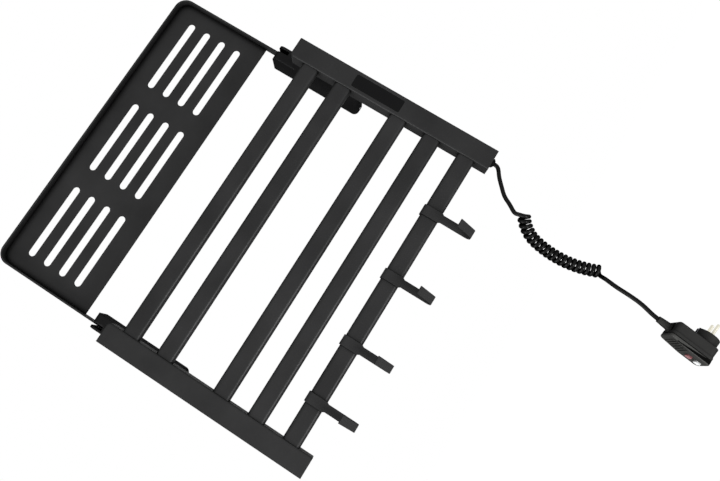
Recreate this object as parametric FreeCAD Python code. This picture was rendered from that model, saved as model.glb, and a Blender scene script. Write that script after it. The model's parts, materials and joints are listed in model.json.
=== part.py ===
"""Wall-mounted heated towel rail with a fold-up slotted shelf, sliding hooks and a curly mains cord.

Frame: X to the right as seen from the room, Y into the wall, Z up. The wall is the plane Y = 0 and the
origin is the middle of the four wall screws. All sizes are in millimetres.
"""
import FreeCAD, Part
import math
import os
from FreeCAD import Placement, Rotation, Vector

os.makedirs("parts", exist_ok=True)

# Side rails
frame_width = 576.0
frame_depth = 128.0
rail_top = 61.5
rail_height = 367.0
rail_face = 34.0
rail_depth = 31.0
rail_wall = 2.0
rail_top_round = 6.0
rail_edge_round = 3.0
cover_thickness = 2.0
cover_clearance = 0.2
post_radius = 4.0
bracket_post_drops = (12.0, 70.0)
cover_post_drops = (235.0, 297.0)

# Heated bars, centres measured down from the rail top
bar_drops = (40.0, 102.0, 205.0, 267.0, 329.0)
bar_height = 29.5
bar_depth = 16.0
bar_round = 6.0
bar_wall = 1.2
bar_recess = 2.5
socket_clearance = 0.2
fitting_length = 20.0
fitting_flange = 2.5
fitting_lip = 2.5
fitting_clearance = 0.1
cable_radius = 2.0
cable_clearance = 0.2
cable_tail = 2.0
harness_inset = 10.0

# Screws
screw_clearance = 0.02
hole_clearance = 0.2
frame_screw_radius = 2.0
frame_screw_grip = 12.0
frame_head_radius = 3.6
frame_head_height = 2.4
bar_screw_radius = 1.5
bar_screw_length = 5.0
bar_screw_inset = 8.0
bar_head_radius = 2.8
bar_head_height = 1.8

# Wall brackets and wall plates
bracket_inner_inset = 5.5
bracket_outer_inset = 2.0
bracket_bottom = -64.0
bracket_shoulder = 60.0
bracket_top = 108.0
bracket_wall = 3.0
bracket_front_wall = 4.0
bracket_corner = 9.0
ear_depth = 52.0
ear_round = 11.0
plate_thickness = 2.5
plate_clearance = 0.3
wall_hole_radius = 2.5
wall_hole_spacing = 90.0
tab_width = 10.0
tab_depth = 12.0
lock_screw_radius = 2.0
lock_screw_length = 9.0

# Fold-up shelf
shelf_side_inset = 8.0
shelf_reach = 221.0
pivot_height = 96.0
pivot_wall_gap = 21.0
rim_width = 20.0
rim_thickness = 3.0
rim_corner = 22.0
arm_side_gap = 2.0
arm_floor_gap = 0.3
pin_radius = 3.0
pin_clearance = 0.05
pin_head_radius = 5.0
pin_head_height = 2.0
pin_blind_wall = 2.5
washer_radius = 6.5
washer_thickness = 1.8
plate_sheet = 1.5
plate_wall_gap = 14.5
plate_start = 38.5
slot_first_row = 80.7
slot_row_pitch = 32.4
slot_rows = 4
slot_column_pitch = 178.0
slot_columns = 3
slot_run = 127.5
slot_width = 12.6

# Hooks on the lowest bar
first_hook_x = 148.0
second_hook_x = 31.0
third_hook_x = -87.0
fourth_hook_x = -184.5
hook_sheet = 1.8
hook_clearance = 0.3
hook_clip_width = 16.5
hook_arm_width = 13.0
hook_neck_drop = 3.0
hook_drop = 69.0
hook_back_drop = 6.0
hook_gap = 21.0
hook_lip = 26.0
hook_lean = 20.0
hook_bend = 8.0

# Touch panel and its board
panel_drop = 156.8
panel_offset = 0.4
panel_length = 88.0
panel_width = 22.0
panel_round = 3.0
panel_clearance = 0.15
panel_lip = 1.0
panel_lip_thickness = 1.0
board_length = 80.0
board_width = 21.0
board_thickness = 1.6
terminal_size = (9.0, 11.0, 10.0)
terminal_drop = 30.0
chip_size = (12.0, 2.4, 12.0)
chip_rise = 12.0
leads_radius = 2.5
stud_radius = 2.0
stud_length = 8.5
stud_nut_radius = 3.5
stud_nut_height = 3.0
stud_drop = 230.0
stud_depth = 11.0
leads_rise = 10.0
leads_bend_height = 33.0
leads_run_height = 90.0
leads_terminal_drop = 14.0
leads_wall_gap = 2.0
leads_cover_gap = 1.5
leads_slack = 1.0

# Cable gland
gland_neck_radius = 5.0
gland_neck_length = 9.0
gland_flange_radius = 7.5
gland_flange_height = 2.0
gland_dome_radius = 4.6
gland_dome_height = 2.5
gland_nut_radius = 8.5
gland_nut_height = 4.0

# Mains cord: straight ends, a coil of close turns round a bent axis, a lower run to the plug
cord_radius = 3.35
curl_radius = 7.45
curl_turns = 19.76
curl_steps = 80
curl_phase = -28.0
curl_start = Vector(223.7, -112.5, -389.5)
curl_heading = 54.4
curl_bends = ((56.7, 45.4), (191.0, 33.1))
curl_top_lean = 0.35
curl_foot_lean = -0.06
curl_top_opening = 0.65
curl_foot_opening = 1.0
upper_route = (
    Vector(271.0, -112.5, -315.0),
    Vector(267.0, -112.2, -320.2),
    Vector(257.5, -111.5, -326.5),
    Vector(246.4, -111.0, -337.3),
    Vector(234.3, -111.0, -348.9),
    Vector(227.4, -112.5, -362.4),
)
upper_end_run = 7.0
lower_route = (
    Vector(200.6, -109.3, -561.3),
    Vector(197.9, -117.0, -581.0),
    Vector(194.5, -122.0, -602.1),
)
lower_start_run = 7.5
lower_end_run = 9.5
plug_entry = Vector(187.0, -124.0, -631.0)

# Mains plug, built upright with its cord entry at the local origin
plug_tilt = 7.0
plug_yaw = -1.0
relief_length = 21.0
relief_top_radius = 4.9
relief_base_radius = 6.6
relief_collar_radius = 7.6
relief_collar_height = 3.0
relief_neck_radius = 4.0
relief_flange_radius = 6.0
relief_flange_height = 2.0
plug_length = 67.5
plug_width = 44.0
plug_rear = 16.5
plug_front = 12.5
plug_seam = -8.0
plug_wall = 2.2
plug_top_round = 6.0
plug_slope_rise = 3.2
plug_slope_length = 34.0
plug_bottom_round = 8.0
plug_step = 1.0
plug_step_at = -3.5
seam_groove = 1.4
plug_edge_round = 1.6
boss_radius = 17.5
boss_height = 14.0
boss_drop = 49.0
boss_notch_width = 8.0
boss_notch_depth = 2.6
pin_pitch = 19.0
contact_radius = 2.4
contact_length = 19.0
contact_root = 4.0
clip_width = 5.0
clip_thickness = 1.0
clip_length = 15.0
plug_post_radius = 3.0
plug_screw_radius = 1.25
plug_screw_spots = ((13.0, 13.0), (17.5, 61.5))
plug_screw_tip = 11.0
plug_screw_sink = 3.0
plug_screw_head = 2.4
plug_screw_head_height = 1.6
rcd_board_size = (1.6, 26.0, 44.0)
rcd_board_drop = 42.0
relay_size = (9.0, 14.0, 16.0)
relay_drop = 31.0
switch_size = (7.6, 5.0, 5.0)
sensor_radius = 4.8
sensor_bore = 2.4
sensor_height = 5.0
sensor_drop = 54.0
sensor_side = 8.0
button_drops = (43.5, 58.0)
button_width = 11.0
button_height = 8.5
button_round = 2.0
button_clearance = 0.35
button_proud = 2.4
button_lip = 1.2
button_lip_height = 1.0
button_rest_gap = 0.1
button_stem = 2.2
button_switch_gap = 1.3

# Positions that follow from the sizes above
x_out = frame_width / 2
x_in = x_out - rail_face
x_mid = x_out - rail_face / 2
y_front = -frame_depth
y_back = y_front + rail_depth
z_bottom = rail_top - rail_height
bar_front = y_front + bar_recess
bar_back = bar_front + bar_depth
bar_mid = bar_front + bar_depth / 2
bar_heights = [rail_top - drop for drop in bar_drops]
bar_end = x_in + rail_wall
cover_inside = y_back - cover_thickness
bracket_in = x_in + bracket_inner_inset
bracket_out = x_out - bracket_outer_inset
bracket_mid = (bracket_in + bracket_out) / 2
arm_out = x_out - shelf_side_inset
arm_in = arm_out - rim_thickness
pivot_y = -pivot_wall_gap
shelf_top = pivot_height + shelf_reach
cord_y = y_front + rail_depth / 2
parts = {}


def box(x0, x1, y0, y1, z0, z1):
    """Box between two opposite corners."""
    return Part.makeBox(x1 - x0, y1 - y0, z1 - z0, Vector(x0, y0, z0))


def rod(start, end, radius):
    """Round bar from one point to another."""
    return Part.makeCylinder(radius, (end - start).Length, start, end - start)


def edges_at(solid, x=None, y=None, z=None):
    """Edges whose ends all lie at the given coordinates."""
    wanted = [(axis, value) for axis, value in enumerate((x, y, z)) if value is not None]
    return [
        edge for edge in solid.Edges
        if all(abs(corner.Point[axis] - value) < 1e-6 for corner in edge.Vertexes for axis, value in wanted)
    ]


def rounded_box(x0, x1, y0, y1, z0, z1, axis, radius):
    """Box with its four edges along one axis rounded."""
    solid = box(x0, x1, y0, y1, z0, z1)
    edges = [e for e in solid.Edges if abs((e.Vertexes[1].Point - e.Vertexes[0].Point)[axis]) > 1e-6]
    return solid.makeFillet(radius, edges)


def mirrored(shape):
    """The same shape on the other side of the middle plane."""
    return shape.mirror(Vector(0, 0, 0), Vector(1, 0, 0))


def both_sides(shapes):
    """Group of the given solids and their mirror images."""
    return Part.makeCompound(shapes + [mirrored(s) for s in shapes])


def rail_block(inset, y0, y1):
    """Block with the rail's front outline, drawn in by the inset, one top corner rounded."""
    x0, x1 = x_in + inset, x_out - inset
    z0, z1 = z_bottom + inset, rail_top - inset
    block = box(x0, x1, y0, y1, z0, z1)
    return block.makeFillet(rail_top_round - inset, edges_at(block, x=x0, z=z1))


def bracket_block(inset, y0, y1, z1):
    """Block with the bracket's outline, drawn in by the inset, lower corners rounded."""
    x0, x1 = bracket_in + inset, bracket_out - inset
    z0 = bracket_bottom + inset
    block = box(x0, x1, y0, y1, z0, z1)
    low_edges = edges_at(block, x=x0, z=z0) + edges_at(block, x=x1, z=z0)
    return block.makeFillet(bracket_corner - inset, low_edges)


def bar_section(x0, x1, z, inset):
    """Bar-shaped prism between two stations, drawn in by the inset."""
    half = bar_height / 2 - inset
    y0, y1 = bar_front + inset, bar_back - inset
    return rounded_box(x0, x1, y0, y1, z - half, z + half, 0, bar_round - inset)


def post_points(drops):
    """Post centres at the rail's mid width."""
    return [Vector(x_mid, cover_inside, rail_top - drop) for drop in drops]


def make_rail(with_panel):
    """Open-backed housing with bar sockets and screw posts; the right one holds panel and gland."""
    rail = rail_block(0, y_front, y_back)
    front_edges = [
        e for e in edges_at(rail, y=y_front)
        if e.CenterOfMass.x < x_out - 1e-6 and e.CenterOfMass.z > z_bottom + 1e-6
    ]
    rail = rail.makeFillet(rail_edge_round, front_edges)
    rail = rail.cut(rail_block(rail_wall, y_front + rail_wall, y_back + rail_wall))
    for spot in post_points(bracket_post_drops + cover_post_drops):
        front = Vector(spot.x, y_front + rail_wall, spot.z)
        tip = spot - Vector(0, frame_screw_grip, 0)
        rail = rail.fuse(rod(front, spot, post_radius))
        rail = rail.cut(rod(tip, spot, frame_screw_radius + screw_clearance))
    for z in bar_heights:
        rail = rail.cut(bar_section(x_in - rail_wall, bar_end + rail_wall / 2, z, -socket_clearance))
    if with_panel:
        rail = rail.cut(panel_block(panel_clearance, y_front - 1, y_front + rail_wall))
        low = Vector(x_mid, cord_y, z_bottom)
        rail = rail.cut(rod(low, low + Vector(0, 0, rail_wall), gland_neck_radius + hole_clearance))
    return rail.removeSplitter()


def make_cover():
    """Flat plate that closes the back of a rail, with clearance holes over the posts."""
    cover = rail_block(rail_wall + cover_clearance, cover_inside, y_back)
    for spot in post_points(bracket_post_drops + cover_post_drops):
        through = spot + Vector(0, cover_thickness, 0)
        cover = cover.cut(rod(spot, through, frame_screw_radius + hole_clearance))
    return cover


def frame_screw(seat, grip):
    """Pan-head screw with its head on the seat point, running towards the room."""
    shank = rod(seat, seat - Vector(0, grip, 0), frame_screw_radius)
    head = rod(seat, seat + Vector(0, frame_head_height, 0), frame_head_radius)
    return shank.fuse(head).removeSplitter()


def panel_block(margin, y0, y1):
    """Block with the touch panel's outline grown by a margin."""
    x = x_mid + panel_offset
    z = rail_top - panel_drop
    w = panel_width / 2 + margin
    h = panel_length / 2 + margin
    return rounded_box(x - w, x + w, y0, y1, z - h, z + h, 1, panel_round)


# Rails, covers and the screws that close them
parts["right_rail"] = make_rail(True)
parts["left_rail"] = mirrored(make_rail(False))
parts["right_rail_cover"] = make_cover()
parts["left_rail_cover"] = mirrored(make_cover())
cover_seats = [spot + Vector(0, cover_thickness, 0) for spot in post_points(cover_post_drops)]
cover_grip = cover_thickness + frame_screw_grip
parts["cover_screws"] = both_sides([frame_screw(seat, cover_grip) for seat in cover_seats])

# Heated bars, each a closed tube with a fitting plugged into either end
fittings = []
bar_screws = []
harness_x = x_in + harness_inset
for number, z in enumerate(bar_heights, 1):
    screw_seat = Vector(x_in - bar_screw_inset, bar_back, z)
    screw_tip = screw_seat - Vector(0, bar_screw_length, 0)
    bar = bar_section(-bar_end, bar_end, z, 0).cut(bar_section(-bar_end, bar_end, z, bar_wall))
    bar_hole = rod(screw_tip, screw_seat, bar_screw_radius + hole_clearance)
    bar = bar.cut(bar_hole).cut(mirrored(bar_hole))
    parts["heating_bar_%d" % number] = bar

    plug = bar_section(bar_end - fitting_length, bar_end, z, bar_wall + fitting_clearance)
    reach = bar_height / 2 + fitting_lip
    flange_front = y_front + rail_wall + fitting_clearance
    flange_back = bar_back + fitting_lip
    flange = box(bar_end, bar_end + fitting_flange, flange_front, flange_back, z - reach, z + reach)
    bore_start = Vector(bar_end - fitting_length, bar_mid, z)
    bore_end = Vector(bar_end + fitting_flange, bar_mid, z)
    fitting = plug.fuse(flange).cut(rod(bore_start, bore_end, cable_radius + cable_clearance))
    fittings.append(fitting.cut(rod(screw_tip, screw_seat, bar_screw_radius + screw_clearance)))

    shank = rod(screw_tip, screw_seat, bar_screw_radius)
    head = rod(screw_seat, screw_seat + Vector(0, bar_head_height, 0), bar_head_radius)
    bar_screws.append(shank.fuse(head).removeSplitter())

    left_tip = Vector(-bar_end - fitting_flange - cable_tail, bar_mid, z)
    right_tip = Vector(harness_x - cable_radius, bar_mid, z)
    parts["heating_cable_%d" % number] = rod(left_tip, right_tip, cable_radius)
parts["bar_end_fittings"] = both_sides(fittings)
parts["bar_screws"] = both_sides(bar_screws)

# Supply harness that joins the cable ends inside the right rail
harness_top = Vector(harness_x, bar_mid, bar_heights[0] + cable_radius)
harness_foot = Vector(harness_x, bar_mid, bar_heights[-1] - cable_radius)
parts["heater_harness"] = rod(harness_foot, harness_top, cable_radius)


def clevis_hole(x0, x1, radius):
    """Round hole or pin along the shelf's pivot line."""
    return rod(Vector(x0, pivot_y, pivot_height), Vector(x1, pivot_y, pivot_height), radius)


def make_bracket():
    """Hollow stand-off behind a rail with a forked ear above it for the shelf arm."""
    bracket = bracket_block(0, y_back, 0, bracket_shoulder)
    ear = box(bracket_in, bracket_out, -ear_depth, 0, bracket_shoulder, bracket_top)
    ear = ear.makeFillet(ear_round, edges_at(ear, y=-ear_depth, z=bracket_top))
    bracket = bracket.fuse(ear).removeSplitter()
    hollow_top = bracket_shoulder - bracket_wall
    hollow_front = y_back + bracket_front_wall
    bracket = bracket.cut(bracket_block(bracket_wall, hollow_front, bracket_wall, hollow_top))
    slot_floor = pivot_height - rim_width / 2 - arm_floor_gap
    slot_in, slot_out = arm_in - arm_side_gap, arm_out + arm_side_gap
    bracket = bracket.cut(box(slot_in, slot_out, -ear_depth - 1, 1, slot_floor, bracket_top + 1))
    pin_start = bracket_in + pin_blind_wall
    bracket = bracket.cut(clevis_hole(pin_start, bracket_out, pin_radius + screw_clearance))
    for spot in post_points(bracket_post_drops):
        seat = Vector(spot.x, y_back, spot.z)
        inner = seat + Vector(0, bracket_front_wall, 0)
        bracket = bracket.cut(rod(seat, inner, frame_screw_radius + hole_clearance))
    lock_low = Vector(bracket_mid, -plate_thickness - tab_depth / 2, bracket_bottom)
    lock_high = lock_low + Vector(0, 0, bracket_wall)
    return bracket.cut(rod(lock_low, lock_high, lock_screw_radius + hole_clearance))


def make_wall_plate():
    """Steel plate screwed to the wall, with a bent tab that takes the lock screw."""
    inset = bracket_wall + plate_clearance
    plate = bracket_block(inset, -plate_thickness, 0, bracket_shoulder - inset)
    for z in (wall_hole_spacing / 2, -wall_hole_spacing / 2):
        hole = rod(Vector(bracket_mid, -plate_thickness, z), Vector(bracket_mid, 0, z), wall_hole_radius)
        plate = plate.cut(hole)
    tab_floor = bracket_bottom + inset
    tab_in, tab_out = bracket_mid - tab_width / 2, bracket_mid + tab_width / 2
    tab_front, tab_top = -plate_thickness - tab_depth, tab_floor + plate_thickness
    tab = box(tab_in, tab_out, tab_front, -plate_thickness, tab_floor, tab_top)
    plate = plate.fuse(tab)
    low = Vector(bracket_mid, -plate_thickness - tab_depth / 2, tab_floor)
    return plate.cut(rod(low, low + Vector(0, 0, plate_thickness), lock_screw_radius + screw_clearance))


# Brackets, wall plates and their screws
parts["right_wall_bracket"] = make_bracket()
parts["left_wall_bracket"] = mirrored(make_bracket())
parts["right_wall_plate"] = make_wall_plate()
parts["left_wall_plate"] = mirrored(make_wall_plate())
bracket_grip = bracket_front_wall + cover_thickness + frame_screw_grip
bracket_seats = [
    Vector(spot.x, y_back + bracket_front_wall, spot.z) for spot in post_points(bracket_post_drops)
]
parts["bracket_screws"] = both_sides([frame_screw(s, bracket_grip) for s in bracket_seats])
lock_foot = Vector(bracket_mid, -plate_thickness - tab_depth / 2, bracket_bottom)
lock_tip = lock_foot + Vector(0, 0, lock_screw_length)
parts["plate_lock_screws"] = both_sides([rod(lock_foot, lock_tip, lock_screw_radius)])

# Hinge pins with heads on the outside and washers on either side of each shelf arm
hinge_pin = clevis_hole(bracket_in + pin_blind_wall, bracket_out, pin_radius)
pin_head = clevis_hole(bracket_out, bracket_out + pin_head_height, pin_head_radius)
hinge_pin = hinge_pin.fuse(pin_head).removeSplitter()
parts["right_hinge_pin"] = hinge_pin
parts["left_hinge_pin"] = mirrored(hinge_pin)
washers = []
for x0 in (arm_in - washer_thickness, arm_out):
    ring = clevis_hole(x0, x0 + washer_thickness, washer_radius)
    washers.append(ring.cut(clevis_hole(x0, x0 + washer_thickness, pin_radius + pin_clearance)))
parts["hinge_washers"] = both_sides(washers)


def shelf_block(inset, y0, y1, z0):
    """Block with the shelf's outline, drawn in by the inset, upper corners rounded."""
    half = arm_out - inset
    z1 = shelf_top - inset
    block = box(-half, half, y0, y1, z0, z1)
    top_edges = edges_at(block, x=half, z=z1) + edges_at(block, x=-half, z=z1)
    return block.makeFillet(rim_corner - inset, top_edges)


# Shelf rim: flat bar bent round three sides, its two arms ending in round eyes on the pins
rim_front, rim_back = pivot_y - rim_width / 2, pivot_y + rim_width / 2
rim = shelf_block(0, rim_front, rim_back, pivot_height)
rim = rim.cut(shelf_block(rim_thickness, rim_front - 1, rim_back + 1, pivot_height - 1))
eye = clevis_hole(arm_in, arm_out, rim_width / 2)
rim = rim.fuse([eye, mirrored(eye)]).removeSplitter()
eye_hole = clevis_hole(arm_in, arm_out, pin_radius + pin_clearance)
parts["shelf_rim"] = rim.cut([eye_hole, mirrored(eye_hole)])

# Shelf plate: thin sheet between the arms with rows of long round-ended slots
sheet_back = -plate_wall_gap
sheet = shelf_block(rim_thickness, sheet_back - plate_sheet, sheet_back, pivot_height + plate_start)
slots = []
for row in range(slot_rows):
    z = pivot_height + slot_first_row + row * slot_row_pitch
    for column in range(slot_columns):
        x = (column - (slot_columns - 1) / 2) * slot_column_pitch
        ends = [Vector(x + side * slot_run / 2, sheet_back - plate_sheet, z) for side in (-1, 1)]
        slots += [rod(end, end + Vector(0, plate_sheet, 0), slot_width / 2) for end in ends]
        z0, z1 = z - slot_width / 2, z + slot_width / 2
        slots.append(box(ends[0].x, ends[1].x, sheet_back - plate_sheet, sheet_back, z0, z1))
parts["shelf_plate"] = sheet.cut(slots)


def arc_corner(before, corner, after, radius):
    """Start, middle and end of the arc that rounds a corner of a route."""
    arriving = (corner - before).normalize()
    leaving = (after - corner).normalize()
    half_turn = arriving.getAngle(leaving) / 2
    inward = (leaving - arriving).normalize()
    tangent_length = radius * math.tan(half_turn)
    middle = corner + inward * (radius / math.cos(half_turn) - radius)
    return corner - arriving * tangent_length, middle, corner + leaving * tangent_length


def rounded_edges(points, radii):
    """Straight runs through the points joined by arcs of the given radii."""
    edges = []
    here = points[0]
    for before, corner, after, radius in zip(points, points[1:], points[2:], radii):
        start, middle, end = arc_corner(before, corner, after, radius)
        edges.append(Part.LineSegment(here, start).toShape())
        edges.append(Part.Arc(start, middle, end).toShape())
        here = end
    edges.append(Part.LineSegment(here, points[-1]).toShape())
    return edges


def strip_side(points, radii, offset):
    """The strip's middle line moved sideways by the offset, corner radii following."""
    across = Vector(1, 0, 0)
    sides = [across.cross(b - a).normalize() for a, b in zip(points, points[1:])]
    moved = [points[0] + sides[0] * offset]
    bends = []
    for corner, before, after, radius in zip(points[1:], sides, sides[1:], radii):
        mitre = (before + after) / (1 + before.dot(after))
        moved.append(corner + mitre * offset)
        turn = across.dot(before.cross(after))
        bends.append(radius - math.copysign(offset, turn))
    moved.append(points[-1] + sides[-1] * offset)
    return moved, bends


def make_hook(x):
    """Bent strip: a clip over the bar, a plain arm below it and a lip that turns up towards the room."""
    z = bar_heights[-1]
    off = hook_clearance + hook_sheet / 2
    back, front = bar_back + off, bar_front - off
    top = z + bar_height / 2 + off
    low = z - hook_drop + hook_sheet / 2
    middle = [
        Vector(x, back, z - hook_back_drop),
        Vector(x, back, top),
        Vector(x, front, top),
        Vector(x, front, low),
        Vector(x, front - hook_gap, low),
        Vector(x, front - hook_gap - hook_lean, low + hook_lip),
    ]
    clip_bend = bar_round + off
    bends = [clip_bend, clip_bend, hook_bend, hook_bend]
    one, one_bends = strip_side(middle, bends, hook_sheet / 2)
    two, two_bends = strip_side(middle, bends, -hook_sheet / 2)
    outline = rounded_edges(one, one_bends) + [Part.LineSegment(one[-1], two[-1]).toShape()]
    outline += rounded_edges(two, two_bends) + [Part.LineSegment(two[0], one[0]).toShape()]
    strip = Part.Face(Part.Wire(Part.sortEdges(outline)[0]))
    strip = strip.extrude(Vector(hook_clip_width, 0, 0))
    strip.translate(Vector(-hook_clip_width / 2, 0, 0))
    neck_high = z - bar_height / 2
    neck_low = neck_high - hook_neck_drop
    clip, arm = hook_clip_width / 2, hook_arm_width / 2
    corners = [
        (-clip, top + hook_sheet), (clip, top + hook_sheet), (clip, neck_high), (arm, neck_low),
        (arm, low - hook_sheet), (-arm, low - hook_sheet), (-arm, neck_low), (-clip, neck_high),
    ]
    room = front - hook_gap - hook_lean - hook_sheet
    plan = Part.Face(Part.makePolygon([Vector(x + dx, room, dz) for dx, dz in corners + corners[:1]]))
    return strip.common(plan.extrude(Vector(0, back + hook_sheet - room, 0)))


for number, x in enumerate((first_hook_x, second_hook_x, third_hook_x, fourth_hook_x), 1):
    parts["hook_%d" % number] = make_hook(x)

# Touch panel: flush window with a thin lip behind the rail's front wall
panel_back = y_front + rail_wall
panel = panel_block(0, y_front, panel_back)
panel = panel.fuse(panel_block(panel_lip, panel_back, panel_back + panel_lip_thickness))
parts["touch_panel"] = panel.removeSplitter()

# Control board behind the panel with a chip and the mains terminal
panel_x = x_mid + panel_offset
panel_z = rail_top - panel_drop
board_front = panel_back + panel_lip_thickness
board_back = board_front + board_thickness
half_w, half_l = board_width / 2, board_length / 2
board = box(panel_x - half_w, panel_x + half_w, board_front, board_back, panel_z - half_l, panel_z + half_l)
chip_x, chip_y, chip_z = chip_size
chip_low = panel_z + chip_rise
chip_left = panel_x - chip_x / 2
chip = box(chip_left, chip_left + chip_x, board_back, board_back + chip_y, chip_low, chip_low + chip_z)
term_x, term_y, term_z = terminal_size
term_out = panel_x + half_w
term_mid = panel_z - terminal_drop
term_low = term_mid - term_z / 2
terminal = box(term_out - term_x, term_out, board_back, board_back + term_y, term_low, term_low + term_z)
parts["control_board"] = board.fuse([chip, terminal]).removeSplitter()

# Earth stud on the outer wall of the right rail
stud_root = Vector(x_out - rail_wall, y_front + stud_depth, rail_top - stud_drop)
stud = rod(stud_root, stud_root - Vector(stud_length, 0, 0), stud_radius)
stud_nut = rod(stud_root, stud_root - Vector(stud_nut_height, 0, 0), stud_nut_radius)
parts["earth_stud"] = stud.fuse(stud_nut).removeSplitter()

# Cable gland in the foot of the right rail with its nut inside
gland_seat = Vector(x_mid, cord_y, z_bottom)
down = Vector(0, 0, -1)
gland = rod(gland_seat, gland_seat - down * gland_neck_length, gland_neck_radius)
gland = gland.fuse(rod(gland_seat, gland_seat + down * gland_flange_height, gland_flange_radius))
dome_seat = gland_seat + down * gland_flange_height
dome = Part.makeCone(gland_flange_radius, gland_dome_radius, gland_dome_height, dome_seat, down)
parts["cable_gland"] = gland.fuse(dome).removeSplitter()
cord_exit = dome_seat + down * gland_dome_height
nut_seat = gland_seat - down * rail_wall
gland_nut = rod(nut_seat, nut_seat - down * gland_nut_height, gland_nut_radius)
gland_bore = rod(nut_seat, nut_seat - down * gland_nut_height, gland_neck_radius + screw_clearance)
parts["gland_nut"] = gland_nut.cut(gland_bore)


def route_radii(points):
    """Arc radius at each corner of a route, from the shorter of its two runs."""
    radii = []
    for before, corner, after in zip(points, points[1:], points[2:]):
        shorter = min((corner - before).Length, (after - corner).Length)
        turn = (corner - before).getAngle(after - corner)
        radii.append(0.45 * shorter / math.tan(turn / 2))
    return radii


def sweep(edges, radius, start, direction):
    """Round tube along joined edges."""
    section = Part.Wire(Part.Circle(start, direction, radius).toShape())
    return Part.Wire(edges).makePipeShell([section], True, False)


def tube(name, points, radius):
    """Round tube along a route, with its radii and its volume against section times length printed."""
    radii = route_radii(points)
    edges = rounded_edges(points, radii)
    solid = sweep(edges, radius, points[0], points[1] - points[0])
    length = sum(edge.Length for edge in edges)
    share = solid.Volume / (math.pi * radius ** 2 * length)
    print(name, "length %.1f" % length, "volume share %.4f" % share, "radii", ["%.1f" % r for r in radii])
    return solid


# Mains leads inside the right rail from the gland up to the board's terminal
term_x_mid = term_out - term_x / 2
term_back = board_back + term_y
leads_start = gland_seat - down * gland_neck_length
leads_x = x_out - rail_wall - leads_radius - leads_wall_gap
leads_y = cover_inside - leads_radius - leads_cover_gap
leads_points = [
    leads_start,
    leads_start + Vector(0, 0, leads_rise),
    Vector(leads_x - leads_slack, leads_y - leads_slack / 2, z_bottom + leads_bend_height),
    Vector(leads_x, leads_y, z_bottom + leads_run_height),
    Vector(leads_x - leads_slack, leads_y, term_mid - leads_terminal_drop),
    Vector(term_x_mid, leads_y, term_mid),
    Vector(term_x_mid, term_back, term_mid),
]
parts["mains_leads"] = tube("mains_leads", leads_points, leads_radius)


curl_length = sum(radius * math.radians(turn) for radius, turn in curl_bends)


def curl_axis(s):
    """Point of the coil's bent and leaning axis at a distance along it, with its front and inward normals."""
    point = Vector(curl_start)
    heading = math.radians(curl_heading)
    inward = Vector(math.cos(heading), 0, -math.sin(heading))
    rest = s
    for radius, turn in curl_bends:
        step = min(max(rest, 0), radius * math.radians(turn))
        heading -= step / radius
        turned = Vector(math.cos(heading), 0, -math.sin(heading))
        point = point + (inward - turned) * radius
        inward = turned
        rest -= step
    onward = Vector(-math.sin(heading), 0, -math.cos(heading))
    lean = curl_top_lean + (curl_foot_lean - curl_top_lean) * s / curl_length
    point = point + onward * rest + Vector(0, (curl_top_lean + lean) / 2 * s, 0)
    onward = (onward + Vector(0, lean, 0)).normalize()
    front = (Vector(0, -1, 0) + onward * onward.y).normalize()
    return point, front, front.cross(onward)


def curl_point(turn):
    """Centre of the wire after a number of turns; the first and last quarter open out along the axis."""
    s = curl_length * turn / curl_turns
    s -= curl_top_opening * max(0, 1 - 4 * turn) ** 2
    s += curl_foot_opening * max(0, 1 - 4 * (curl_turns - turn)) ** 2
    centre, front, inward = curl_axis(s)
    angle = 2 * math.pi * turn + math.radians(curl_phase)
    return centre + (front * math.cos(angle) + inward * math.sin(angle)) * curl_radius


def curl_direction(turn):
    """Direction of the wire after a number of turns."""
    small = 1e-5
    return (curl_point(turn + small) - curl_point(turn - small)).normalize()


def tangent_arc(start, end, direction):
    """Arc that leaves the start along the direction and reaches the end."""
    chord = end - start
    along = Vector(chord).normalize()
    side = (direction - along * direction.dot(along)).normalize()
    rise = chord.Length / 2 * math.tan(direction.getAngle(chord) / 2)
    return Part.Arc(start, start + chord / 2 + side * rise, end)


def biarc(p0, t0, p1, t1):
    """Two arcs from one point and direction to another, meeting smoothly half way."""
    v = p1 - p0
    t = t0 + t1
    spread = 2 * (1 - t0.dot(t1))
    d = (math.sqrt(v.dot(t) ** 2 + spread * v.dot(v)) - v.dot(t)) / spread
    joint = (p0 + p1 + (t0 - t1) * d) / 2
    return tangent_arc(p0, joint, t0), tangent_arc(p1, joint, t1 * -1)


# Coiled part of the cord: one tube on biarcs of about a quarter turn, straight for one diameter at each end
stations = [curl_turns * step / curl_steps for step in range(curl_steps + 1)]
points = [curl_point(turn) for turn in stations]
directions = [curl_direction(turn) for turn in stations]
curl_top = points[0] - directions[0] * 2 * cord_radius
curl_foot = points[-1] + directions[-1] * 2 * cord_radius
arcs = []
for p0, t0, p1, t1 in zip(points, directions, points[1:], directions[1:]):
    arcs += biarc(p0, t0, p1, t1)
curl_edges = [Part.LineSegment(curl_top, points[0]).toShape()]
curl_edges += [arc.toShape() for arc in arcs]
curl_edges.append(Part.LineSegment(points[-1], curl_foot).toShape())
parts["cord_curl"] = sweep(curl_edges, cord_radius, curl_top, directions[0])
samples = [curl_point(n / 48) for n in range(int(48 * curl_turns) + 1)]
nearest = min(a.distanceToPoint(b) for i, a in enumerate(samples) for b in samples[i + 24:i + 96])
coil_length = sum(edge.Length for edge in curl_edges)
coil_share = parts["cord_curl"].Volume / (math.pi * cord_radius ** 2 * coil_length)
coil_tightest = min(edge.Curve.Radius for edge in curl_edges[1:-1])
print("cord_curl length %.1f" % coil_length, "volume share %.4f" % coil_share)
print("cord_curl least gap to itself %.2f" % (nearest - 2 * cord_radius), "least radius %.2f" % coil_tightest)

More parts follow.
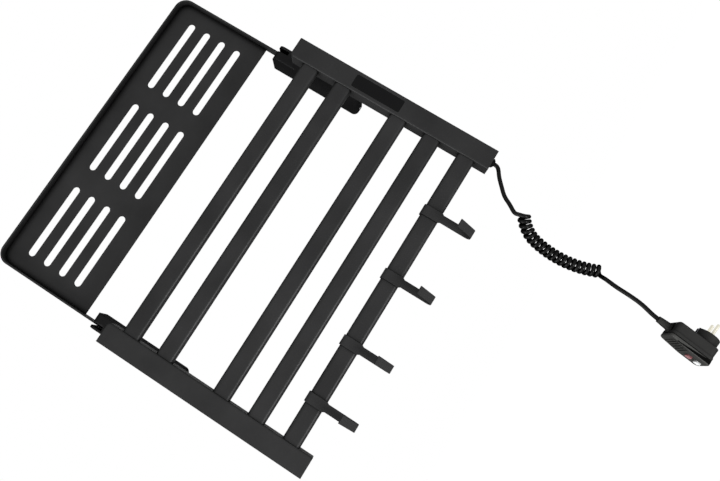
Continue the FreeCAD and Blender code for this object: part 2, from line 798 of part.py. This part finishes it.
# Plain stretches of the cord above and below the coil
tilt = Rotation(Vector(0, 1, 0), plug_tilt) * Rotation(Vector(0, 0, 1), plug_yaw)
plug_down = tilt.multVec(down)
upper_points = [cord_exit] + list(upper_route) + [curl_top - directions[0] * upper_end_run, curl_top]
lower_points = [curl_foot, curl_foot + directions[-1] * lower_start_run] + list(lower_route)
lower_points += [plug_entry - plug_down * lower_end_run, plug_entry]
parts["cord_lead_upper"] = tube("cord_lead_upper", upper_points, cord_radius)
parts["cord_lead_lower"] = tube("cord_lead_lower", lower_points, cord_radius)

# Plug pieces below are drawn upright, pins towards +X, and then set at the end of the cord
body_top = -relief_length
body_foot = body_top - plug_length


def plug_block(inset, x0, x1):
    """Block with the plug body's outline, drawn in by the inset."""
    half = plug_width / 2 - inset
    z0, z1 = body_foot + inset, body_top - inset
    block = box(x0, x1, -half, half, z0, z1)
    top_edges = edges_at(block, y=half, z=z1) + edges_at(block, y=-half, z=z1)
    block = block.makeFillet(plug_top_round - inset, top_edges)
    low_edges = edges_at(block, y=half, z=z0) + edges_at(block, y=-half, z=z0)
    return block.makeFillet(plug_bottom_round - inset, low_edges)


def rear_block(inset):
    """Block behind the seam, drawn in by the inset, its back sloping in towards the cord."""
    block = plug_block(inset, inset - plug_rear, plug_seam)
    back = inset - plug_rear
    corners = [(back, body_top - plug_slope_length), (back + plug_slope_rise, body_top), (back, body_top)]
    half = plug_width / 2
    wedge = Part.Face(Part.makePolygon([Vector(x, -half, z) for x, z in corners + corners[:1]]))
    return block.cut(wedge.extrude(Vector(0, plug_width, 0)))


def along_x(x0, x1, y, drop, radius):
    """Round bar parallel to the pins at a distance below the top of the plug body."""
    return rod(Vector(x0, y, body_top - drop), Vector(x1, y, body_top - drop), radius)


def drop_box(x0, size, y, drop):
    """Box of a given size starting at a station, centred sideways and at a drop."""
    dx, dy, dz = size
    z = body_top - drop
    return box(x0, x0 + dx, y - dy / 2, y + dy / 2, z - dz / 2, z + dz / 2)


# Strain relief: plain cone over the cord, its neck and flange held by the front shell
relief_end = Vector(0, 0, body_top)
relief = Part.makeCone(relief_base_radius, relief_top_radius, relief_length, relief_end, Vector(0, 0, 1))
relief = relief.fuse(rod(relief_end, relief_end - down * relief_collar_height, relief_collar_radius))
neck_end = relief_end + down * plug_wall
flange_end = neck_end + down * relief_flange_height
relief_neck = rod(relief_end, neck_end, relief_neck_radius)
relief = relief.fuse([relief_neck, rod(neck_end, flange_end, relief_flange_radius)])

# Shells: the front one carries boss and pins, the rear one the buttons
screw_spots = [(side * y, drop) for y, drop in plug_screw_spots for side in (-1, 1)]
front_shell = plug_block(0, plug_seam, plug_step_at)
front_top = plug_block(plug_step, plug_step_at, plug_front)
front_top = front_top.makeFillet(plug_edge_round, edges_at(front_top, x=plug_front))
front_shell = front_shell.fuse(front_top).removeSplitter()
front_shell = front_shell.cut(plug_block(plug_wall, plug_seam, plug_front - plug_wall))
boss = along_x(plug_front, plug_front + boss_height, 0, boss_drop, boss_radius)
boss = boss.makeFillet(plug_edge_round, edges_at(boss, x=plug_front + boss_height))
for side in (-1, 1):
    z = body_top - boss_drop
    z0, z1 = sorted((z + side * (boss_radius - boss_notch_depth), z + side * (boss_radius + 1)))
    half = boss_notch_width / 2
    boss = boss.cut(box(plug_front, plug_front + boss_height, -half, half, z0, z1))
front_shell = front_shell.fuse(boss)
rear_shell = rear_block(0)
rear_shell = rear_shell.makeFillet(plug_edge_round, edges_at(rear_shell, x=-plug_rear))
groove_start = plug_seam - seam_groove
groove_band = plug_block(-1, groove_start, plug_seam).cut(plug_block(seam_groove, groove_start, plug_seam))
rear_shell = rear_shell.cut(groove_band).cut(rear_block(plug_wall))
for y, drop in screw_spots:
    front_shell = front_shell.fuse(along_x(plug_seam, plug_front - plug_wall, y, drop, plug_post_radius))
    rear_shell = rear_shell.fuse(along_x(plug_wall - plug_rear, plug_seam, y, drop, plug_post_radius))
screw_seat_x = plug_front - plug_screw_sink
shank_hole = plug_screw_radius + hole_clearance
head_hole = plug_screw_head + hole_clearance
thread_hole = plug_screw_radius + screw_clearance
plug_screws = []
for y, drop in screw_spots:
    front_shell = front_shell.cut(along_x(plug_seam, screw_seat_x, y, drop, shank_hole))
    front_shell = front_shell.cut(along_x(screw_seat_x, plug_front, y, drop, head_hole))
    rear_shell = rear_shell.cut(along_x(-plug_screw_tip, plug_seam, y, drop, thread_hole))
    shank = along_x(-plug_screw_tip, screw_seat_x, y, drop, plug_screw_radius)
    head = along_x(screw_seat_x, screw_seat_x + plug_screw_head_height, y, drop, plug_screw_head)
    plug_screws.append(shank.fuse(head).removeSplitter())
front_shell = front_shell.cut(rod(relief_end, neck_end, relief_neck_radius + screw_clearance))

# Contact pins and side earth clips
pin_tip = plug_front + boss_height + contact_length
contacts = []
for side in (-1, 1):
    y = side * pin_pitch / 2
    hole_radius = contact_radius + screw_clearance
    front_shell = front_shell.cut(along_x(contact_root, plug_front + boss_height, y, boss_drop, hole_radius))
    contact = along_x(contact_root, pin_tip, y, boss_drop, contact_radius)
    contacts.append(contact.makeFillet(contact_radius * 0.7, edges_at(contact, x=pin_tip)))
clip_floor = boss_radius - boss_notch_depth
clips = []
for side in (-1, 1):
    z = body_top - boss_drop
    z0, z1 = sorted((z + side * clip_floor, z + side * (clip_floor + clip_thickness)))
    clips.append(box(plug_front, plug_front + clip_length, -clip_width / 2, clip_width / 2, z0, z1))

# Breaker board carried on the pin roots, with relay and one switch under each button
board_x, board_y, board_z = rcd_board_size
rcd_board = drop_box(contact_root - board_x, rcd_board_size, 0, rcd_board_drop)
board_rear = contact_root - board_x
relay = drop_box(board_rear - relay_size[0], relay_size, 0, relay_drop)
switches = [drop_box(board_rear - switch_size[0], switch_size, 0, drop) for drop in button_drops]
rcd_board = rcd_board.fuse([relay] + switches).removeSplitter()
sensor = along_x(board_rear - sensor_height, board_rear, -sensor_side, sensor_drop, sensor_radius)
sensor = sensor.cut(along_x(board_rear - sensor_height, board_rear, -sensor_side, sensor_drop, sensor_bore))


def button_block(x0, x1, drop, margin):
    """Button-shaped prism between two stations, grown by a margin."""
    half_y = button_width / 2 + margin
    half_z = button_height / 2 + margin
    z = body_top - drop
    return rounded_box(x0, x1, -half_y, half_y, z - half_z, z + half_z, 0, button_round + margin)


# Test and reset buttons: caps through the rear wall, kept in by a lip, each with a stem to its switch
rear_inside = plug_wall - plug_rear
lip_start = rear_inside + button_rest_gap
stem_end = board_rear - switch_size[0] - button_switch_gap
buttons = []
for drop in button_drops:
    rear_shell = rear_shell.cut(button_block(-plug_rear, rear_inside, drop, button_clearance))
    cap = button_block(-plug_rear - button_proud, lip_start, drop, 0)
    lip = button_block(lip_start, lip_start + button_lip_height, drop, button_lip)
    stem = along_x(lip_start, stem_end, 0, drop, button_stem)
    buttons.append(cap.fuse([lip, stem]).removeSplitter())

# Plug pieces set at the end of the cord
plug_place = Placement(plug_entry, tilt)
plug_pieces = {
    "plug_strain_relief": relief.removeSplitter(),
    "plug_front_shell": front_shell.removeSplitter(),
    "plug_rear_shell": rear_shell.removeSplitter(),
    "plug_pins": Part.makeCompound(contacts),
    "plug_earth_clips": Part.makeCompound(clips),
    "plug_screws": Part.makeCompound(plug_screws),
    "rcd_board": rcd_board,
    "current_sensor": sensor,
    "test_button": buttons[0],
    "reset_button": buttons[1],
}
for name, shape in plug_pieces.items():
    shape.Placement = plug_place.multiply(shape.Placement)
    parts[name] = shape

for name, shape in parts.items():
    if not shape.isValid():
        raise ValueError("not a valid solid: " + name)
    shape.exportStep("parts/%s.step" % name)
bounds = Part.makeCompound(list(parts.values())).BoundBox
print(len(parts), "parts, overall", bounds)
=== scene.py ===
"""Looks of the wall-mounted heated towel rail: camera, cord, plug details, finishes and studio light.

Lengths are in metres.
"""
import json
import math
import bpy
from mathutils import Matrix, Vector


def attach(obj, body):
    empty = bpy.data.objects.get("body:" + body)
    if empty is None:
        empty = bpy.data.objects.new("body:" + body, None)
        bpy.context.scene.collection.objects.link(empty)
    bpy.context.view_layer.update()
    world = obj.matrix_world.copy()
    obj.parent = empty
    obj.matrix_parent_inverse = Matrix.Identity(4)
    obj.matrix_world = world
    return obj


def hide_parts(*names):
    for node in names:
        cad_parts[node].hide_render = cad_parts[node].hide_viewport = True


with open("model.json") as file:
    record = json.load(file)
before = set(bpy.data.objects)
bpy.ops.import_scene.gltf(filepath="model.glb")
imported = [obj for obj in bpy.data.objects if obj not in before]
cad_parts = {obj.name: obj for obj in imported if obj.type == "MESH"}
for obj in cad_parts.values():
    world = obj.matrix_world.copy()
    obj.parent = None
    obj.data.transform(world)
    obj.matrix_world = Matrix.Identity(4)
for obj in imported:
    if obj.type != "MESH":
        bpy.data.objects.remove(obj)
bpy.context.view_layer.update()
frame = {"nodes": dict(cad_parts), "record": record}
nodes = frame["nodes"]
scene = bpy.context.scene


def link(obj):
    """Puts a new object into the scene."""
    scene.collection.objects.link(obj)
    return obj


# Camera where the photograph was taken from, rolled as the photograph is
right = Vector((0.5347, 0.0375, -0.8442))
down = Vector((-0.8299, 0.2117, -0.5162))
ahead = Vector((0.1594, 0.9766, 0.1444))
camera = link(bpy.data.objects.new("camera", bpy.data.cameras.new("camera")))
camera.data.sensor_width = 36.0
camera.data.lens = 37.5
camera.data.shift_x = 0.0624
camera.data.shift_y = -0.0447
camera.data.clip_start = 0.02
place = Matrix((right, -down, -ahead)).transposed().to_4x4()
place.translation = Vector((-0.1254, -1.2616, -0.2782))
camera.matrix_world = place
scene.camera = camera


# Mains cord: one spline through the upper run, the curls and the lower run
CORD_DIAMETER = 0.0067
CURL_RADIUS = 0.00745
CURL_TURNS = 19.76
CURL_PHASE = math.radians(-28.0)
CURL_START = Vector((0.2237, -0.1125, -0.3895))
CURL_HEADING = math.radians(54.4)
CURL_BENDS = ((0.0567, math.radians(45.4)), (0.1910, math.radians(33.1)))
CURL_TOP_LEAN, CURL_FOOT_LEAN = 0.35, -0.06
CURL_TOP_OPENING, CURL_FOOT_OPENING = 0.00065, 0.0010
CURL_LENGTH = sum(radius * turn for radius, turn in CURL_BENDS)
POINTS_PER_TURN = 16
CORD_EXIT = Vector((0.2710, -0.1125, -0.3100))
UPPER_ROUTE = (
    (0.2710, -0.1125, -0.3150),
    (0.2670, -0.1122, -0.3202),
    (0.2575, -0.1115, -0.3265),
    (0.2464, -0.1110, -0.3373),
    (0.2343, -0.1110, -0.3489),
    (0.2274, -0.1125, -0.3624),
)
LOWER_ROUTE = (
    (0.2006, -0.1093, -0.5613),
    (0.1979, -0.1170, -0.5810),
    (0.1945, -0.1220, -0.6021),
)
PLUG_ENTRY = Vector((0.1870, -0.1240, -0.6310))
UPPER_END_RUN, LOWER_START_RUN, LOWER_END_RUN = 0.0070, 0.0075, 0.0095
PLUG_TILT, PLUG_YAW = math.radians(7.0), math.radians(-1.0)
PLUG_TURN = Matrix.Rotation(PLUG_TILT, 4, "Y") @ Matrix.Rotation(PLUG_YAW, 4, "Z")
PLUG_PLACE = Matrix.Translation(PLUG_ENTRY) @ PLUG_TURN
PLUG_DOWN = PLUG_TURN @ Vector((0, 0, -1))


def curl_axis(s):
    """Point of the curls' bent and leaning axis at a distance along it, with its front and inward normals."""
    point, heading, rest = CURL_START.copy(), CURL_HEADING, s
    inward = Vector((math.cos(heading), 0, -math.sin(heading)))
    for radius, turn in CURL_BENDS:
        step = min(max(rest, 0), radius * turn)
        heading -= step / radius
        turned = Vector((math.cos(heading), 0, -math.sin(heading)))
        point += (inward - turned) * radius
        inward = turned
        rest -= step
    onward = Vector((-math.sin(heading), 0, -math.cos(heading)))
    lean = CURL_TOP_LEAN + (CURL_FOOT_LEAN - CURL_TOP_LEAN) * s / CURL_LENGTH
    point += onward * rest + Vector((0, (CURL_TOP_LEAN + lean) / 2 * s, 0))
    onward = (onward + Vector((0, lean, 0))).normalized()
    front = (Vector((0, -1, 0)) + onward * onward.y).normalized()
    return point, front, front.cross(onward)


def curl_point(turn):
    """Centre of the cord after a number of turns; the end quarters open out along the axis."""
    s = CURL_LENGTH * turn / CURL_TURNS
    s -= CURL_TOP_OPENING * max(0, 1 - 4 * turn) ** 2
    s += CURL_FOOT_OPENING * max(0, 1 - 4 * (CURL_TURNS - turn)) ** 2
    centre, front, inward = curl_axis(s)
    angle = 2 * math.pi * turn + CURL_PHASE
    return centre + (front * math.cos(angle) + inward * math.sin(angle)) * CURL_RADIUS


curl_steps = int(CURL_TURNS * POINTS_PER_TURN)
curl = [curl_point(CURL_TURNS * n / curl_steps) for n in range(curl_steps + 1)]
SMALL_TURN = 1e-4
top_way = (curl_point(SMALL_TURN) - curl_point(0)).normalized()
foot_way = (curl_point(CURL_TURNS) - curl_point(CURL_TURNS - SMALL_TURN)).normalized()
curl_top = curl[0] - top_way * CORD_DIAMETER
curl_foot = curl[-1] + foot_way * CORD_DIAMETER
route = [CORD_EXIT] + [Vector(p) for p in UPPER_ROUTE] + [curl_top - top_way * UPPER_END_RUN, curl_top]
route += curl + [curl_foot, curl_foot + foot_way * LOWER_START_RUN]
route += [Vector(p) for p in LOWER_ROUTE] + [PLUG_ENTRY - PLUG_DOWN * LOWER_END_RUN, PLUG_ENTRY]


def cord_curve(name, points, diameter):
    """Round cord along one open smooth spline."""
    curve = bpy.data.curves.new(name, "CURVE")
    curve.dimensions = "3D"
    curve.bevel_depth = 1.0  # so that a point's radius is the cord's own
    curve.bevel_resolution = 5
    curve.use_fill_caps = True
    curve.resolution_u = 5
    spline = curve.splines.new("NURBS")
    spline.points.add(len(points) - 1)
    for point, at in zip(spline.points, points):
        point.co = (*at, 1)
        point.radius = diameter / 2
    spline.order_u = 3
    spline.use_endpoint_u = True
    return link(bpy.data.objects.new(name, curve))


cord = cord_curve("mains_cord", route, CORD_DIAMETER)
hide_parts("cord_lead_upper", "cord_curl", "cord_lead_lower")
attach(cord, "frame")


# Plug details in the plug's own frame: x towards the pins, z up along the cord
PLUG_TOP = -0.021
SLOPE_LENGTH, SLOPE_RISE, PLUG_REAR = 0.034, 0.0032, -0.0165
RIB_COUNT, RIB_FIRST_DROP, RIB_PITCH = 6, 0.0095, 0.0045
RIB_HALF_WIDTH, RIB_HALF_HEIGHT, RIB_ROUND = 0.016, 0.001, 0.0005
RIB_SUNK, RIB_PROUD = 0.0004, 0.0011


def grip_rib(name, corners, inner, outer):
    """Low rib across the plug's back: an outline thickened between two levels, its edges rounded."""
    count = len(corners)
    points = [(level, y, z) for level in (inner, outer) for y, z in corners]
    faces = [tuple(range(count)), tuple(range(count, 2 * count))[::-1]]
    faces += [(n, count + n, count + (n + 1) % count, (n + 1) % count) for n in range(count)]
    mesh = bpy.data.meshes.new(name)
    mesh.from_pydata([PLUG_PLACE @ Vector(p) for p in points], [], faces)
    obj = link(bpy.data.objects.new(name, mesh))
    bevel = obj.modifiers.new("edges", "BEVEL")
    bevel.width = RIB_ROUND
    bevel.segments = 3
    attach(obj, "frame")
    return obj


plug_details = []
for rib in range(RIB_COUNT):
    drop = RIB_FIRST_DROP + RIB_PITCH * rib
    back = PLUG_REAR + SLOPE_RISE * max(0, 1 - drop / SLOPE_LENGTH)
    low, high = PLUG_TOP - drop - RIB_HALF_HEIGHT, PLUG_TOP - drop + RIB_HALF_HEIGHT
    outline = [(-RIB_HALF_WIDTH, low), (RIB_HALF_WIDTH, low), (RIB_HALF_WIDTH, high), (-RIB_HALF_WIDTH, high)]
    plug_details.append(grip_rib("plug_grip_rib_%d" % (rib + 1), outline, back + RIB_SUNK, back - RIB_PROUD))

# Painted shadow: near-black tapered sheet down the plug's near side and round its lower corner, shade at the
# shell seam
PLUG_SIDE, PLUG_FOOT, FOOT_ROUND = -0.022, PLUG_TOP - 0.0675, 0.008
BAND_TOP, BAND_REAR, BAND_FRONT, BAND_PROUD = PLUG_TOP - 0.012, -0.0150, -0.0094, 0.0004
BAND_TIP, BAND_TURN, BAND_STEPS = 0.1, 80.0, 8
bend = PLUG_FOOT + FOOT_ROUND
stations = [(PLUG_SIDE, BAND_TOP, 0.0, BAND_TIP), (PLUG_SIDE, bend, 0.0, 1.0)]
for step in range(1, BAND_STEPS + 1):
    angle = math.radians(BAND_TURN * step / BAND_STEPS)
    turned = FOOT_ROUND * math.cos(angle)
    stations.append((PLUG_SIDE + FOOT_ROUND - turned, bend - FOOT_ROUND * math.sin(angle), angle, 1.0))
band_points = []
for y, z, angle, width in stations:
    out = Vector((0, -math.cos(angle), -math.sin(angle))) * BAND_PROUD
    front = BAND_REAR + (BAND_FRONT - BAND_REAR) * width
    rear_line, front_line = Vector((BAND_REAR, y, z)), Vector((front, y, z))
    band_points += [rear_line - out, front_line - out, front_line + out, rear_line + out]
last = 4 * len(stations) - 4
band_faces = [(3, 2, 1, 0), (last, last + 1, last + 2, last + 3)]
for row in range(0, last, 4):
    band_faces += [(row + n, row + (n + 1) % 4, row + 4 + (n + 1) % 4, row + 4 + n) for n in range(4)]
mesh = bpy.data.meshes.new("plug_side_painted_shadow")
mesh.from_pydata([PLUG_PLACE @ p for p in band_points], [], band_faces)
painted_shadow_band = link(bpy.data.objects.new("plug_side_painted_shadow", mesh))
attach(painted_shadow_band, "frame")
plug_details.append(painted_shadow_band)


# Finishes
BROAD_SCALE, BROAD_DETAIL, FINE_DETAIL = 14.0, 5.0, 3.0
NOISE_LOW, NOISE_HIGH = 0.3, 0.7
EDGE_SAMPLES, EDGE_FLAT, EDGE_SHARP = 4, 0.98, 0.75
WORN_GAIN, WORN_LIFT = 2.0, 0.005
# Painted shade: ambient occlusion darkens the base colour in inside corners, joints and narrow gaps
PAINTED_SHADE_SAMPLES, PAINTED_SHADE_REACH, PAINTED_SHADE_DEEP, PAINTED_SHADE_OPEN = 6, 0.011, 0.42, 0.9
GLOSS_DRIFT, GRAIN_DEPTH = 0.15, 0.0002


def finish(name, colour, rough, grain, bump, specular=0.5, metal=0.0, edge=0.0008, wear=0.3, tint=0.15,
           rim_tint=1.0, painted_shade=0.6):
    """Procedural finish: colour drifts with broad noise, painted shade darkens it in inside corners and
    joints, fine grain gives gloss and bump, and edges are softly rounded and worn a little paler."""
    material = bpy.data.materials.new(name)
    material.use_nodes = True
    tree = material.node_tree
    links = tree.links
    shader = tree.nodes["Principled BSDF"]
    shader.inputs["Metallic"].default_value = metal
    shader.inputs["Specular IOR Level"].default_value = specular
    shader.inputs["Specular Tint"].default_value = (rim_tint, rim_tint, rim_tint, 1)
    where = tree.nodes.new("ShaderNodeTexCoord")
    broad = tree.nodes.new("ShaderNodeTexNoise")
    broad.inputs["Scale"].default_value = BROAD_SCALE
    broad.inputs["Detail"].default_value = BROAD_DETAIL
    fine = tree.nodes.new("ShaderNodeTexNoise")
    fine.inputs["Scale"].default_value = grain
    fine.inputs["Detail"].default_value = FINE_DETAIL
    links.new(where.outputs["Object"], broad.inputs["Vector"])
    links.new(where.outputs["Object"], fine.inputs["Vector"])
    shade = tree.nodes.new("ShaderNodeValToRGB")
    shade.color_ramp.elements[0].position = NOISE_LOW
    shade.color_ramp.elements[1].position = NOISE_HIGH
    shade.color_ramp.elements[0].color = (*[c * (1 - tint) for c in colour], 1)
    shade.color_ramp.elements[1].color = (*[min(1, c * (1 + tint)) for c in colour], 1)
    links.new(broad.outputs["Fac"], shade.inputs["Fac"])

    soft = tree.nodes.new("ShaderNodeBevel")
    soft.samples = EDGE_SAMPLES
    soft.inputs["Radius"].default_value = edge
    flat = tree.nodes.new("ShaderNodeNewGeometry")
    turn = tree.nodes.new("ShaderNodeVectorMath")
    turn.operation = "DOT_PRODUCT"
    links.new(soft.outputs["Normal"], turn.inputs[0])
    links.new(flat.outputs["Normal"], turn.inputs[1])
    rim = tree.nodes.new("ShaderNodeMapRange")
    rim.inputs["From Min"].default_value = EDGE_FLAT
    rim.inputs["From Max"].default_value = EDGE_SHARP
    rim.inputs["To Max"].default_value = wear
    links.new(turn.outputs["Value"], rim.inputs["Value"])
    worn = tree.nodes.new("ShaderNodeMixRGB")
    worn.inputs["Color2"].default_value = (*[min(1, c * WORN_GAIN + WORN_LIFT) for c in colour], 1)
    links.new(rim.outputs["Result"], worn.inputs["Fac"])
    links.new(shade.outputs["Color"], worn.inputs["Color1"])

    # Painted shade: the base colour is multiplied down where ambient occlusion finds inside corners and
    # joints
    shade_occlusion = tree.nodes.new("ShaderNodeAmbientOcclusion")
    shade_occlusion.samples = PAINTED_SHADE_SAMPLES
    shade_occlusion.inputs["Distance"].default_value = PAINTED_SHADE_REACH
    painted_shade_amount = tree.nodes.new("ShaderNodeMapRange")
    painted_shade_amount.inputs["From Min"].default_value = PAINTED_SHADE_DEEP
    painted_shade_amount.inputs["From Max"].default_value = PAINTED_SHADE_OPEN
    painted_shade_amount.inputs["To Min"].default_value = 1 - painted_shade
    links.new(shade_occlusion.outputs["AO"], painted_shade_amount.inputs["Value"])
    painted_shade_mix = tree.nodes.new("ShaderNodeMixRGB")
    painted_shade_mix.blend_type = "MULTIPLY"
    painted_shade_mix.inputs["Fac"].default_value = 1.0
    links.new(worn.outputs["Color"], painted_shade_mix.inputs["Color1"])
    links.new(painted_shade_amount.outputs["Result"], painted_shade_mix.inputs["Color2"])
    links.new(painted_shade_mix.outputs["Color"], shader.inputs["Base Color"])

    gloss = tree.nodes.new("ShaderNodeMapRange")
    gloss.inputs["From Min"].default_value = NOISE_LOW
    gloss.inputs["From Max"].default_value = NOISE_HIGH
    gloss.inputs["To Min"].default_value = rough * (1 - GLOSS_DRIFT)
    gloss.inputs["To Max"].default_value = rough * (1 + GLOSS_DRIFT)
    links.new(fine.outputs["Fac"], gloss.inputs["Value"])
    links.new(gloss.outputs["Result"], shader.inputs["Roughness"])
    relief = tree.nodes.new("ShaderNodeBump")
    relief.inputs["Strength"].default_value = bump
    relief.inputs["Distance"].default_value = GRAIN_DEPTH
    links.new(fine.outputs["Fac"], relief.inputs["Height"])
    links.new(soft.outputs["Normal"], relief.inputs["Normal"])
    links.new(relief.outputs["Normal"], shader.inputs["Normal"])
    return material


finishes = {
    "black_coat": finish("black_coat", (0.0290, 0.0290, 0.0293), 0.40, 900, 0.08, specular=0.01, metal=0.5,
                         rim_tint=0.0, wear=0.06, painted_shade=1.0),
    "bracket_coat": finish("bracket_coat", (0.016, 0.016, 0.0163), 0.45, 700, 0.12, specular=0.0, metal=0.5,
                           rim_tint=0.0, edge=0.004),
    "steel": finish("steel", (0.50, 0.50, 0.51), 0.34, 600, 0.05, metal=1.0),
    "fitting_nylon": finish("fitting_nylon", (0.02, 0.02, 0.02), 0.5, 500, 0.1),
    "cable_silicone": finish("cable_silicone", (0.45, 0.08, 0.06), 0.55, 400, 0.1),
    "panel_gloss": finish("panel_gloss", (0.002, 0.002, 0.0022), 0.12, 300, 0.01, specular=0.1, edge=0.0004),
    "circuit_board": finish("circuit_board", (0.02, 0.13, 0.06), 0.45, 500, 0.1),
    "brass": finish("brass", (0.75, 0.58, 0.28), 0.3, 500, 0.05, metal=1.0),
    "gland_black": finish("gland_black", (0.010, 0.010, 0.010), 0.35, 600, 0.1, specular=0.0, metal=0.4,
                          rim_tint=0.0),
    "cord_black": finish("cord_black", (0.011, 0.011, 0.011), 0.22, 700, 0.08, specular=0.0, metal=0.7,
                         rim_tint=0.0, painted_shade=0.7),
    # Painted light: the plug's black and the paler copy below are one plastic, the copy lighter for the light
    # the rear face catches
    "plug_black": finish("plug_black", (0.022, 0.022, 0.0215), 0.40, 900, 0.10, specular=0.0, metal=0.3,
                         rim_tint=0.0, edge=0.001, painted_shade=0.85),
    "plug_back_painted_light": finish("plug_back_painted_light", (0.050, 0.050, 0.048), 0.40, 900, 0.10, specular=0.0, metal=0.3,
                        rim_tint=0.0, edge=0.001, painted_shade=0.9),
    "hook_coat": finish("hook_coat", (0.026, 0.026, 0.0263), 0.6, 900, 0.08, specular=0.0, rim_tint=0.0),
    "relief_black": finish("relief_black", (0.024, 0.024, 0.023), 0.40, 900, 0.10, specular=0.0, metal=0.4,
                           rim_tint=0.0),
    # Painted shadow: near-black colour of the sheet laid over the plug's shaded shell seam
    "plug_painted_shadow": finish("plug_painted_shadow", (0.003, 0.003, 0.003), 0.4, 900, 0.1, specular=0.0, rim_tint=0.0),
    "plated_contact": finish("plated_contact", (0.74, 0.71, 0.60), 0.30, 400, 0.03, metal=1.0),
    "clip_metal": finish("clip_metal", (0.10, 0.10, 0.125), 0.35, 400, 0.03, metal=1.0),
    "button_red": finish("button_red", (0.22, 0.085, 0.09), 0.40, 800, 0.04, specular=0.05, wear=0.1),
    "button_grey": finish("button_grey", (0.62, 0.63, 0.63), 0.40, 800, 0.04, specular=0.05, wear=0.1),
}
own_finish = {"hook_%d" % n: "hook_coat" for n in range(1, 5)}
# Painted light: the rear shell takes the paler, lit copy of the plug's black
own_finish.update(plug_rear_shell="plug_back_painted_light", plug_strain_relief="relief_black",
                  plug_earth_clips="clip_metal")
for entry in frame["record"]["subparts"]:
    data = nodes[entry["node"]].data
    data.materials.clear()
    data.materials.append(finishes[own_finish.get(entry["node"], entry["material_slot"])])
cord.data.materials.append(finishes["cord_black"])
# Painted light on the grip ribs (paler copy of the plug's black), painted shadow on the side sheet
for piece in plug_details:
    piece.data.materials.append(finishes["plug_painted_shadow" if piece.name == "plug_side_painted_shadow" else "plug_back_painted_light"])


# Studio: white surroundings brighter from below, soft lamps, pale floor far below
def lamp(name, at, target, size, power):
    """Square soft lamp aimed at a point."""
    light = bpy.data.lights.new(name, "AREA")
    light.size = size
    light.energy = power
    obj = link(bpy.data.objects.new(name, light))
    obj.location = at
    obj.rotation_euler = (Vector(target) - Vector(at)).to_track_quat("-Z", "Y").to_euler()


lamp("below", at=(-0.15, -1.35, -1.40), target=(0, -0.1, -0.15), size=0.5, power=20)
lamp("left", at=(-2.0, -0.60, 0.15), target=(0, -0.1, -0.1), size=1.5, power=42)


def seen_ray(tree):
    """1 where a ray shows the background: straight to the camera, in a reflection or through glass."""
    path = tree.nodes.new("ShaderNodeLightPath")
    mirror = tree.nodes.new("ShaderNodeMath")
    mirror.operation = "MAXIMUM"
    either = tree.nodes.new("ShaderNodeMath")
    either.operation = "MAXIMUM"
    tree.links.new(path.outputs["Is Camera Ray"], mirror.inputs[0])
    tree.links.new(path.outputs["Is Glossy Ray"], mirror.inputs[1])
    tree.links.new(mirror.outputs["Value"], either.inputs[0])
    tree.links.new(path.outputs["Is Transmission Ray"], either.inputs[1])
    return either.outputs["Value"]


SKY_REACH, SKY_BELOW, SKY_ABOVE = 0.6, 0.80, 0.68
world = bpy.data.worlds.new("studio")
scene.world = world
world.use_nodes = True
tree = world.node_tree
background = tree.nodes["Background"]
background.inputs["Color"].default_value = (1, 1, 1, 1)
way = tree.nodes.new("ShaderNodeTexCoord")
split = tree.nodes.new("ShaderNodeSeparateXYZ")
tree.links.new(way.outputs["Generated"], split.inputs["Vector"])
sky = tree.nodes.new("ShaderNodeMapRange")
sky.inputs["From Min"].default_value = -SKY_REACH
sky.inputs["From Max"].default_value = SKY_REACH
sky.inputs["To Min"].default_value = SKY_BELOW
sky.inputs["To Max"].default_value = SKY_ABOVE
tree.links.new(split.outputs["Z"], sky.inputs["Value"])
strength = tree.nodes.new("ShaderNodeMix")
tree.links.new(seen_ray(tree), strength.inputs["Factor"])
tree.links.new(sky.outputs["Result"], strength.inputs["A"])
strength.inputs["B"].default_value = 1.0
tree.links.new(strength.outputs["Result"], background.inputs["Strength"])

FLOOR_SIZE, FLOOR_CELLS, FLOOR_LEVEL = 14, 8, -1.6
FLOOR_GLOW, FLOOR_GLOW_SHARE = 1.05, 0.9
bpy.ops.mesh.primitive_grid_add(size=FLOOR_SIZE, x_subdivisions=FLOOR_CELLS, y_subdivisions=FLOOR_CELLS,
                                location=(0, 0, FLOOR_LEVEL))
floor = bpy.context.object
floor.name = "floor"
paint = bpy.data.materials.new("floor")
paint.use_nodes = True
tree = paint.node_tree
pale = tree.nodes["Principled BSDF"]
pale.inputs["Base Color"].default_value = (0.9, 0.9, 0.9, 1)
pale.inputs["Roughness"].default_value = 0.8
glow = tree.nodes.new("ShaderNodeEmission")
glow.inputs["Strength"].default_value = FLOOR_GLOW
mix = tree.nodes.new("ShaderNodeMixShader")
part = tree.nodes.new("ShaderNodeMath")
part.operation = "MULTIPLY"
part.inputs[1].default_value = FLOOR_GLOW_SHARE
tree.links.new(seen_ray(tree), part.inputs[0])
tree.links.new(part.outputs["Value"], mix.inputs["Fac"])
tree.links.new(pale.outputs["BSDF"], mix.inputs[1])
tree.links.new(glow.outputs["Emission"], mix.inputs[2])
tree.links.new(mix.outputs["Shader"], tree.nodes["Material Output"].inputs["Surface"])
floor.data.materials.append(paint)

scene.view_settings.view_transform = "Standard"

bpy.context.view_layer.update()
